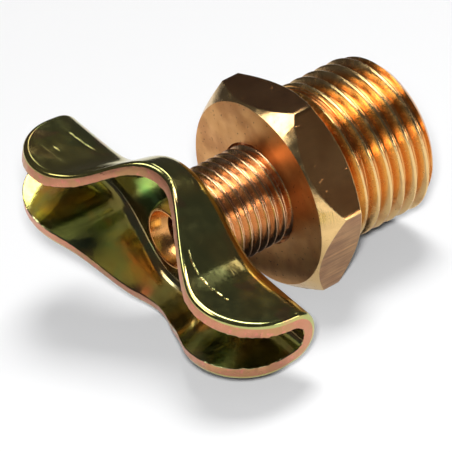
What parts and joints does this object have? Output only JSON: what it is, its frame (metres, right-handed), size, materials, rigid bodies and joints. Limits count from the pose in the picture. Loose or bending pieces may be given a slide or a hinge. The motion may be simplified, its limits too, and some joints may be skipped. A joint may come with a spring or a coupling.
{
  "type": "radiator drain petcock",
  "caption": "Screw-in radiator drain petcock: a hexagonal brass body, a hollow threaded spindle with a rubber tip seal, and a folded sheet wing that opens the drain when turned.",
  "frame": {"origin": "centre of the sealing face, where the hexagon meets the body thread", "axes": "+Y along the spindle into the radiator, -Z square to the flat of the hexagon that the part lies on, +X across both, the long way of the wing"},
  "size_m": [0.0364, 0.0327, 0.019],
  "materials": {
    "brass": "turned brass, slightly tarnished to brown, shiny on the thread flanks",
    "plated_steel": "glossy yellow zinc plating on pressed steel, coppery on the sheared edges",
    "rubber": "matt black rubber"
  },
  "bodies": {
    "body": {"hex_body": "brass"},
    "seal": {"tip_seal": "rubber"},
    "screw": {"spindle": "brass", "wing_handle": "plated_steel"}
  },
  "joints": [
    {"name": "spindle_lift", "type": "slide", "parent": "body", "child": "seal", "axis": [0, -1, 0], "range_m": [0, 0.003]},
    {"name": "spindle_turn", "type": "hinge", "parent": "seal", "child": "screw", "pos_m": [0, 0, 0], "axis": [0, -1, 0], "range_deg": [0, 1080]}
  ],
  "couplings": [
    {"joint": "spindle_turn", "follows": "spindle_lift", "rad_per_m": 6283.2}
  ]
}
